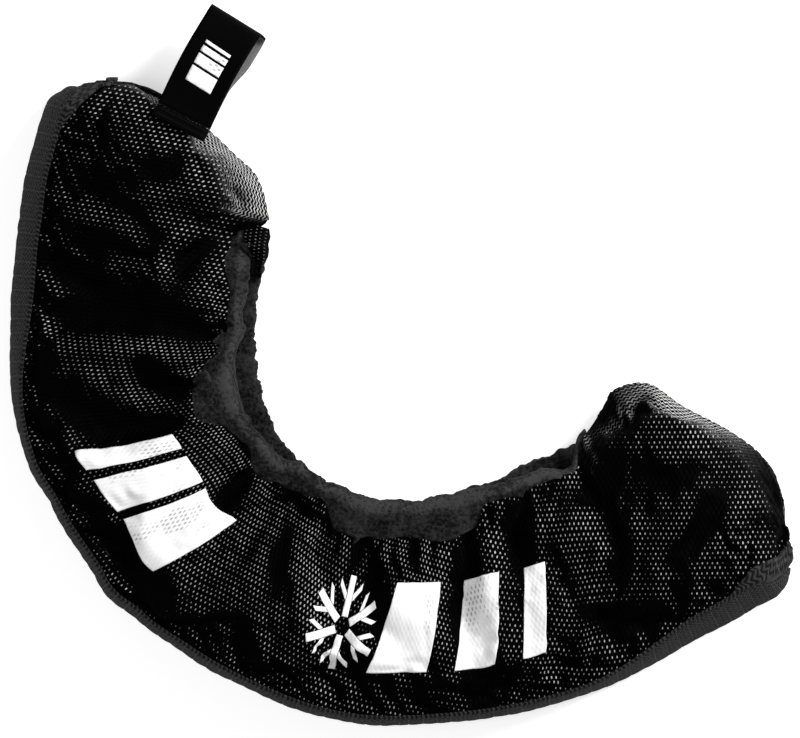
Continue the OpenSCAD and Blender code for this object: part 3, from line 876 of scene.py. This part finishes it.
def makeSole():
    cfg = webbing
    s = np.linspace(-cover["cornerWrap"], soleLen + cover["toeWrap"], cfg["stations"])
    across = np.linspace(0, 1, cfg["columns"])
    low, high = cfg["foot"], height(s) - 0.7
    z = low + (high - low)[:, None] * across
    sole = s[:, None] + 0 * z
    soft = 0.35 * noise2(sole, z, 15, 61) + 0.12 * noise2(sole, z, 3, 62)
    bulge = cfg["bulge"] * np.sin(math.pi * across) ** 0.7
    outer = soleGrid(sole, -(ribs(sole) + soft + bulge - 0.5), z)
    outer[..., 2] = np.maximum(outer[..., 2], 0.1)
    # past the corner's top edge the webbing folds over on to the upper wall
    over = cfg["heelWrap"] * smooth((8 - s) / 18) + cfg["toeWrap"] * smooth((s - soleLen + 14) / 18) + 0.4
    back = np.linspace(0, 1, cfg["foldColumns"] + 1)[None, 1:] * over[:, None]
    more = s[:, None] + 0 * back
    lift = (0.75 + 0.6 * ribs(more)) * smooth(over / 3)[:, None] - 0.3
    grid = np.concatenate([outer, onWall(more, tilt(more) + back, lift[..., None])], 1)
    flat = np.concatenate([np.stack([sole, z], -1), np.stack([more, high[:, None] + back], -1)], 1)
    runUp = np.linspace(-cfg["tongueRun"], 0, cfg["tongueStations"])[:-1, None, None] * np.array([1.0, 0.0])
    grid, flat = np.concatenate([tongueGrid(grid[:1]), grid]), np.concatenate([flat[:1] + runUp, flat])
    piece = sheetPiece("soleStrip", grid, flat, flip=True)
    thicken(piece, cfg["thick"])
    settle(piece)
    (soleLen + 47) * mm
    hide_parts("sole_strip_heel", "sole_strip_toe")
    return crossesBend(piece)


soleStrip = makeSole()

# fleece casings round the mouth
casing = dict(
    stations=460, around=44, nearFrom=17.5, farFrom=28.5, elasticFrom=27.5, endGap=3.5, nose=3.4,
    nearTuft=0.28, farTuft=0.25, squareness=0.75, seat=0.15, overlap=1.5, heelEase=2.4,
    # crest of the upper casing past the start of the casing: place along the sole, distance
    crest=[(15, -6), (21, -3), (27, 3.2), (36, 4), (45, 5), (70, 6), (100, 3.2), (117, 3), (140, 5.5),
           (162, 7), (183, 10.8), (221, 12.2), (259, 12), (287, 11), (315, 9.2), (335, 8), (350, 4), (362, 1)],
)


def casingRows(count, first):
    lo, hi = rowsAtRim([first, mouthTo - casing["endGap"]])
    return Stations(evenRows(count, lo, hi, at=1.0))


def fluff(rings, seed, size):  # uneven pile, worn into small tufts
    ring = np.arange(rings.shape[0])[:, None] + 0.0 * rings[..., 0]
    around = np.arange(rings.shape[1])[None] + 0.0 * rings[..., 0]
    grain = 0.6 * noise2(ring, around, 5.1, seed) + 0.4 * noise2(ring, around, 2.3, seed + 1)
    return rings + unit(rings - rings.mean(1, keepdims=True)) * (grain * size)[..., None]


def casingPiece(side, st, run, z, seed):
    rings = fluff(st.place(run, z), seed, casing[side + "Tuft"])
    rings[..., 2] = np.maximum(rings[..., 2], 0.1)
    flat = np.stack([st.rim[:, None] + 0 * run, np.cumsum(np.ones_like(run), 1) * 0.8], -1)
    piece = tubePiece(side + "Rim", rings, flat)
    editAll(piece, bpy.ops.mesh.normals_make_consistent, inside=False)
    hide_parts(side + "_rim_heel", side + "_rim_toe")
    return crossesBend(piece)


def makeUpperCasing():
    cfg = casing
    st = casingRows(cfg["stations"], cfg["nearFrom"])
    crest = eased(cfg["crest"], st.rim) + 0.7 * bumps(st.rim, 11, 71) + 0.35 * bumps(st.rim, 4.5, 72)
    back = np.minimum(edgeProfile(st, upperWall["edge"]), crest - 3) - 7
    b, c, puck = back[:, None], crest[:, None], 0.5 * bumps(st.rim, 6.5, 73)[:, None]
    n = (cfg["nose"] * (0.45 + 0.55 * st.share))[:, None]
    t = (st.rimZ("near") + 0.9 * st.share)[:, None]
    # one ring: along the top from under the shell to the crest, round the nose, and back underneath
    a = np.linspace(0, 1, cfg["around"] // 2)[None]
    turn = np.linspace(-0.1, 1, 12)[None, 2:] * math.pi
    under = np.linspace(0, 1, cfg["around"] - cfg["around"] // 2 - 10)[None, 1:]
    lip, centre = c - 0.35 * n, t + 1.1 + puck - n
    run = [mix(b, lip, a), lip + n * 0.75 * np.sin(turn), mix(lip, b + 1, under)]
    z = [t - 1.5 + 2.6 * smooth(a ** 1.6) + puck * a, centre + n * np.cos(turn)]
    z.append(mix(centre - n, t - 4.6, under))
    run, z = np.concatenate(run, 1), np.concatenate(z, 1)
    return casingPiece("near", st, st.wallWidth("near")[:, None] + run, z, 75)


def makeLowerCasing():
    cfg = casing
    st = casingRows(cfg["stations"], cfg["farFrom"])
    outer = st.width - 0.2 + 0.9 * bumps(st.rim, 8.5, 81) + 0.4 * bumps(st.rim, 3.6, 82)
    outer = (outer - cfg["heelEase"] * smooth((95 - st.rim) / 40))[:, None]
    back = (st.wallWidth("far") - cfg["overlap"])[:, None]
    low = np.maximum(st.rimZ("far"), 0) + cfg["seat"]
    top = (low + cover["casingT"] + 0.6 * bumps(st.rim, 7, 83) * st.share)[:, None]
    low = low[:, None]
    around = np.linspace(0, 2 * math.pi, cfg["around"], endpoint=False)[None]
    across, up = (np.sign(v) * np.abs(v) ** cfg["squareness"] for v in (np.cos(around), np.sin(around)))
    run = (outer + back) / 2 + (outer - back) / 2 * across
    return casingPiece("far", st, run, low + (top - low) / 2 + (top - low) / 2 * up, 85)



nearRim = makeUpperCasing()
farRim = makeLowerCasing()
print("casings made")

# the end of the upper wall, folded over the lower casing at the heel end of the mouth
flap = {"from": 19, "to": 43, "rows": 60, "columns": 16, "thick": 0.7}


def makeFlap():
    rim = np.linspace(flap["from"], flap["to"], flap["rows"])
    st = Stations(rowsAtRim(rim))
    t = np.linspace(0, 1, flap["rows"])
    outer = st.width - mix(0.3, 2.6, smooth(t)) + 0.5 * bumps(rim, 6, 55)
    inner = st.width - mix(8.5, 3.4, smooth((t - 0.25) / 0.75))
    a = np.linspace(0, 1, flap["columns"])[None]
    run = mix(inner[:, None], outer[:, None], a)
    z = mix(st.ridge + 0.8, st.rimZ("far") + cover["casingT"] + 1.5, smooth(t * 1.6))[:, None]
    z = z + 0.5 * np.sin(math.pi * a) - 2.6 * smooth((a - 0.7) / 0.3)
    z = z + 0.35 * noise2(rim[:, None] + 0 * a, run, 5, 56)
    # an even level of painted light and shade for the flap's glints
    marks = dict(paintedLight=0.35 + 0 * run, ridge=0 * run, toRidge=run, run=run)
    piece = sheetPiece("heelFlap", st.place(run, z), np.stack([rim[:, None] + 0 * a, run], -1), marks)
    thicken(piece, flap["thick"])
    return crossesBend(piece)


heelFlap = makeFlap()

# fleece inside the channel, and the elastic in the casings
inside = dict(gap=1.0, thick=1.5, soleThick=2.2, elasticW=5, elasticT=1.2, play=0.4, end=0.97)


def makeLining(side):
    wall, cfg = walls[side]
    st, fine = wall["st"], cfg["finer"]
    index = np.arange(len(st.u)) * fine
    lo, hi = np.searchsorted(st.u, [len(heelRows) - 2, lastRow - 5]) * fine
    row = np.linspace(lo, hi, 170)[:, None]
    width, reach = (np.interp(row, index, wall[key]) for key in ("width", "reach"))
    first = (cover["stripT"] + cover["liningT"] + 0.5) / width
    m = first + (inside["end"] - first) * np.linspace(0, 1, 30)
    column = m / reach * (cfg["columns"] - 1) * fine
    row = row + 0 * column
    out = pickGrid(wall["facing"], row, column)
    sole, across = pickGrid(wall["sole"][..., None], row, column)[..., 0], m * width
    grid = pickGrid(wall["surface"], row, column) - out * inside["gap"]
    grid = grid - out * (0.2 + 0.2 * noise2(sole, across, 4, 91))[..., None]
    ahead = (normals(grid) * out).sum(-1).mean() > 0
    piece = sheetPiece(side + "Lining", grid, np.stack([sole, across], -1), flip=not ahead)
    thicken(piece, inside["thick"])
    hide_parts(side + "_lining_heel", side + "_lining_toe")
    return crossesBend(piece)


def makeSoleLining():
    s = np.linspace(8, soleLen - 6, 200)
    z = 1.2 + (height(s) - 2.4)[:, None] * np.linspace(0, 1, 10)
    sole = s[:, None] + 0 * z
    grid = soleGrid(sole, cover["stripT"] + 0.4 + 0.25 * noise2(sole, z, 4, 93), z)
    piece = sheetPiece("soleLining", grid, np.stack([sole, z], -1))
    thicken(piece, inside["soleThick"])
    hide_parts("sole_lining_heel", "sole_lining_toe")
    return crossesBend(piece)


def makeElastic(side):
    st = casingRows(200, casing["elasticFrom"])
    width = st.wallWidth(side)
    if side == "near":
        z = st.rimZ("near") - cover["casingT"] / 2
    else:
        z = np.maximum(st.rimZ("far"), 0) + cover["casingT"] / 2 + casing["seat"]
    wide = np.maximum(inside["elasticW"] - cover["casingLen"] * (1 - st.share), 1.0)
    run = width[:, None] + inside["play"] + wide[:, None] * np.linspace(0, 1, 5)
    grid = st.place(run, (z + 0.15 * np.sin(st.rim / 1.3))[:, None])
    piece = sheetPiece(side + "Elastic", grid, np.stack([st.rim[:, None] + 0 * run, run], -1))
    thicken(piece, inside["elasticT"] * 0.8, side=0.0)
    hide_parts(side + "_elastic_heel", side + "_elastic_toe")
    return crossesBend(piece)


nearLining, farLining, soleLining = makeLining("near"), makeLining("far"), makeSoleLining()
nearElastic, farElastic = makeElastic("near"), makeElastic("far")
print("linings made")

# stitches
stitches = dict(length=2.4, pitch=3.2, thick=0.24)


def stitchMesh():  # one stitch, lying along X, modelled once
    thick, length = stitches["thick"] * mm, stitches["length"] * mm
    bpy.ops.mesh.primitive_cylinder_add(vertices=6, radius=thick, depth=length, rotation=(0, math.pi / 2, 0))
    one = bpy.context.object
    bpy.ops.object.transform_apply(location=True, rotation=True, scale=True)
    editAll(one, bpy.ops.mesh.bevel, offset=thick * 0.5, segments=1)
    co = np.array([v.co for v in one.data.vertices]) / mm
    faces = [list(p.vertices) for p in one.data.polygons]
    bpy.data.objects.remove(one)
    ends = np.abs(co[:, 0]) / (stitches["length"] / 2)
    co[:, 2] -= 0.25 * ends ** 2  # each end dips into the cloth
    return co, faces


stitchPoints, stitchFaces = stitchMesh()


def stitchRow(name, line, up):  # a row of stitches along a line, each turned to it
    run = np.concatenate([[0], np.cumsum(np.linalg.norm(np.diff(line, axis=0), axis=1))])
    count = int(run[-1] / stitches["pitch"])
    points, faces = [], []

    def pick(values, at):
        return np.array([np.interp(at, run, column) for column in values.T])

    for k, a in enumerate((np.arange(count) + 0.5) * run[-1] / count):
        along = unit(pick(line, a + 0.5) - pick(line, a - 0.5))
        top = pick(up, a)
        top = unit(top - along * (top @ along))
        points.append(pick(line, a) + stitchPoints @ np.stack([along, np.cross(top, along), top]))
        faces += [[v + k * len(stitchPoints) for v in f] for f in stitchFaces]
    piece = meshPiece(name, np.concatenate(points), faces)
    return piece


def makeSeam(side):
    s = np.linspace(-cover["cornerWrap"] + 4, soleLen + cover["toeWrap"] - 4, 500)
    inset = cover["shellT"] + 2.6
    z = height(s) - inset if side == "near" else np.full_like(s, inset)
    line = soleGrid(s, np.full_like(s, -0.75), z)
    xy, h = edgeLine(s)
    up = np.concatenate([-inward(h), np.full((len(s), 1), 0.25)], -1)
    piece = stitchRow(side + "Seam", line, up)
    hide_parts(side + "_seam_heel", side + "_seam_toe")
    return crossesBend(piece)


def makeHoodSeam(end):
    lo, hi = (0.05, 6.25) if end == "heel" else (lastRow - 7.35, lastRow - 0.05)
    st = Stations(evenRows(120, lo, hi, at=1.0))
    line = withZ(st.end, st.ridge)
    along = np.gradient(line, axis=0)
    out = unit(np.stack([-along[:, 1], along[:, 0], 0 * along[:, 0]], -1))
    line = line + out * 0.25
    piece = stitchRow(end + "HoodSeam", line, out)
    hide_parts("hood_seam_" + end)
    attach(piece, end + "_half")
    return piece


nearSeam, farSeam = makeSeam("near"), makeSeam("far")
heelHoodSeam, toeHoodSeam = makeHoodSeam("heel"), makeHoodSeam("toe")
print("stitches made")

# print on the upper wall: bars on both sides of a snowflake, each bar as (share of the sole, width)
printed = dict(
    height=27, middle=31, slant=9, lift=0.2, thick=0.12, step=0.5,
    flakeStep=0.4, flakeAt=0.612, flakeSize=0.56,
    heelBars=[(0.315, 8), (0.354, 14), (0.408, 21)], toeBars=[(0.685, 21), (0.756, 14), (0.809, 8)],
)


def filmPatch(corners, step):  # a four-cornered patch of ink, its corners as (along the sole, above it)
    c = np.array(corners, float)
    long = max(2, int(np.linalg.norm(c[3] - c[0]) / step))
    wide = max(2, int(np.linalg.norm(c[1] - c[0]) / step))
    f = np.linspace(0, 1, long + 1)[:, None, None]
    g = np.linspace(0, 1, wide + 1)[None, :, None]
    flat = mix(mix(c[0], c[1], g), mix(c[3], c[2], g), f)
    return onWall(flat[..., 0], flat[..., 1], printed["lift"]), flat


def joinPatches(name, patches):
    points, faces, flats, base = [], [], [], 0
    for grid, flat in patches:
        quads = gridFaces(*grid.shape[:2]) + base
        up = normals(grid)[..., 2].mean() > 0
        faces += (quads if up else quads[:, ::-1]).tolist()
        points.append(grid.reshape(-1, 3))
        flats.append(flat.reshape(-1, 2))
        base += len(points[-1])
    piece = meshPiece(name, np.concatenate(points), faces, np.concatenate(flats))
    thicken(piece, printed["thick"])
    return piece


def barPatch(share, width):
    s, lean, half = share * soleLen, printed["slant"] / 2, printed["height"] / 2
    low, high = printed["middle"] - half, printed["middle"] + half
    return filmPatch([(s - width / 2 - lean, low), (s + width / 2 - lean, low),
                      (s + width / 2 + lean, high), (s - width / 2 + lean, high)], printed["step"])


def flakePatches():
    r = printed["flakeSize"] * printed["height"]
    w = 0.085 * r
    centre = np.array([printed["flakeAt"] * soleLen, printed["middle"]])
    arms = [[(2.2 * w, -w), (2.2 * w, w), (r, w), (r, -w)]]
    for way in (-1, 1):
        arms.append([(0.5 * r, way * 1.15 * w), (0.64 * r, way * 1.15 * w),
                     (0.9 * r, way * 0.34 * r), (0.76 * r, way * 0.34 * r)])
    out = []
    for k in range(6):
        a = math.radians(60 * k + 30)
        turn = np.array([[math.cos(a), math.sin(a)], [-math.sin(a), math.cos(a)]])
        out += [filmPatch(centre + np.array(arm) @ turn, printed["flakeStep"]) for arm in arms]
    return out


def makePrints():
    heel = joinPatches("sidePrintHeel", [barPatch(*bar) for bar in printed["heelBars"]])
    toe = joinPatches("sidePrintToe", [barPatch(*bar) for bar in printed["toeBars"]] + flakePatches())
    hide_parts("side_print_heel")
    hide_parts("side_print_toe")
    return crossesBend(heel), crossesBend(toe)


sidePrintHeel, sidePrintToe = makePrints()
print("print made")


def loopLine(count):  # the ribbon's middle line: out along the top, round, and back underneath
    run = ribbon["length"] - ribbon["gap"] / 2
    f = np.linspace(0, 1, count)
    top = np.stack([f * run, ribbonBelly(f) - ribbon["thick"] / 2], -1)
    end = top[-1]
    a = np.linspace(math.pi / 2, -math.pi / 2, 15)[1:-1]
    bendOver = np.stack([end[0] + end[1] * 0.9 * np.cos(a), end[1] * np.sin(a)], -1)
    return np.concatenate([top, bendOver, (top * [1, -1])[::-1]])


def onRibbon(out, across, off, extra=0.0):  # on the loop: out from its fold, a share across, off its middle
    share = out / ribbon["length"]
    x = ribbon["stub"] + ribbon["foldGap"] + out + ribbon["slant"] * across * share + extra
    lower = smooth((share - 0.4) / 0.35) * smooth(0.5 - off / 2)
    y = ribbon["width"] * across + 0.5 * np.sin(out / 9) - ribbon["askew"] * lower
    curl = 0.3 * (across * 2) ** 2 * np.sin(np.clip(share, 0, 1) * math.pi)
    return onTab(x, y, off + curl), y


def makeLoop():
    line = loopLine(40)
    run = np.concatenate([[0], np.cumsum(np.hypot(*np.diff(line, axis=0).T))])
    grid, y = onRibbon(line[:, :1], np.linspace(-0.5, 0.5, 19), line[:, 1:])
    piece = sheetPiece("tabLoop", grid, np.stack([run[:, None] + 0 * y, y], -1))
    piece.data.materials.append(finishes["ribbon"])
    # the inner face gets the grey copy of the ribbon, a painted sheen
    piece.data.materials.append(finishes["ribbonBackPaintedSheen"])
    thicken(piece, ribbon["thick"], side=0.0, backFinish=1)
    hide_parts("tab_loop")
    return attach(piece, "pull_tab")


def tabBox(name, x0, x1, y0, y1, z0, z1, cuts, bevel, wobble=0.0):
    bpy.ops.mesh.primitive_cube_add(size=1, location=(0, 0, 0))
    piece = bpy.context.object
    piece.name = piece.data.name = name
    editAll(piece, bpy.ops.mesh.subdivide, number_cuts=cuts)
    co = np.array([v.co for v in piece.data.vertices]) + 0.5
    ridge = wobble * np.sin(co[:, 1] * math.pi * 14) * (co[:, 2] > 0.5)
    points = onTab(mix(x0, x1, co[:, 0]), mix(y0, y1, co[:, 1]), mix(z0, z1, co[:, 2]) + ridge) * mm
    piece.data.vertices.foreach_set("co", points.ravel())
    edge = piece.modifiers.new("edge", "BEVEL")
    edge.width, edge.segments, edge.limit_method = bevel * mm, 2, "ANGLE"
    applyAll(piece)
    piece.data.shade_smooth()
    return piece


def makeTab():
    half, thick = ribbon["width"] / 2, ribbon["thick"]
    base = tabBox("tabBase", 0, ribbon["stub"], -half, half, -thick, thick, 10, 0.2, 0.05)
    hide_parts("tab_base")
    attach(base, "heel_half")
    tacks = [tabBox("tack", x, x + 0.7, 1 - half, half - 1, thick - 0.05, thick + 0.3, 12, 0.08, 0.08)
             for x in (0.7, 2.6)]
    selectOnly(*tacks)
    bpy.ops.object.join()
    bartack = tacks[0]
    bartack.name = bartack.data.name = "tabBartack"
    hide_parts("tab_bartack")
    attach(bartack, "heel_half")
    return base, bartack


def makeTabPrint():
    run = ribbon["length"] - ribbon["gap"] / 2
    across = np.linspace(-0.25, 0.25, 10)[None]
    patches = []
    for share, wide in ribbon["bars"]:
        line = share * run + wide * np.linspace(0, 1, 8)[:, None] + 0 * across
        grid, y = onRibbon(line, across, ribbonBelly(line / run) + ribbon["printLift"], 1.2 * across)
        patches.append((grid, np.stack([line, y], -1)))
    piece = joinPatches("tabPrint", patches)
    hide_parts("tab_print")
    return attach(piece, "pull_tab")


tabLoop = makeLoop()
tabBase, tabBartack = makeTab()
tabPrint = makeTabPrint()
print("tab made")

wears = [
    ("shell", [nearShell, farShell, heelFlap]), ("webbing", [soleStrip]),
    ("fleece", [nearRim, farRim, nearLining, farLining, soleLining]), ("elastic", [nearElastic, farElastic]),
    ("thread", [nearSeam, farSeam, heelHoodSeam, toeHoodSeam, tabBartack]),
    ("ink", [sidePrintHeel, sidePrintToe, tabPrint]), ("ribbon", [tabBase]),
]
for label, pieces in wears:
    for piece in pieces:
        piece.data.materials.clear()
        piece.data.materials.append(finishes[label])
print("finishes made")

# floor, lights and camera
studio = dict(lens=250.0, high=1.7222, focus=0.012, floor=1.6, nearest=0.05, sky=0.22)
lamps = [("keyLight", (0.75, 0.5, 0.65), 0.5, 16), ("fillLight", (-0.6, -0.3, 0.9), 0.9, 5)]


def makeFloor():
    bpy.ops.mesh.primitive_plane_add(size=studio["floor"], location=(0, 0, 0))
    floor = bpy.context.object
    floor.name = floor.data.name = "floor"
    f = Finish("paleFloor", **{"Roughness": 0.9, "Specular IOR Level": 0.1, "Base Color": grey(0.9),
                               "Emission Color": grey(1.0), "Emission Strength": 0.55})
    floor.data.materials.append(f.material)


def areaLight(name, place, size, power):
    data = bpy.data.lights.new(name, "AREA")
    data.shape, data.size, data.energy = "DISK", size, power
    light = addPiece(name, data)
    light.location = place
    light.rotation_euler = (-light.location.normalized()).to_track_quat("-Z", "Y").to_euler()


def makeCamera():
    data = bpy.data.cameras.new("camera")
    data.lens, data.sensor_width, data.sensor_fit = studio["lens"], 36, "HORIZONTAL"
    data.clip_start = studio["nearest"]
    camera = addPiece("camera", data)
    camera.location = (0, 0, studio["high"] + studio["focus"])
    bpy.context.scene.camera = camera


makeFloor()
for lamp in lamps:
    areaLight(*lamp)
makeCamera()
world = bpy.context.scene.world or bpy.data.worlds.new("studio")
bpy.context.scene.world = world
world.use_nodes = True
sky = world.node_tree.nodes["Background"].inputs
sky[0].default_value, sky[1].default_value = grey(1.0), studio["sky"]
bpy.context.scene.view_settings.view_transform = "Standard"
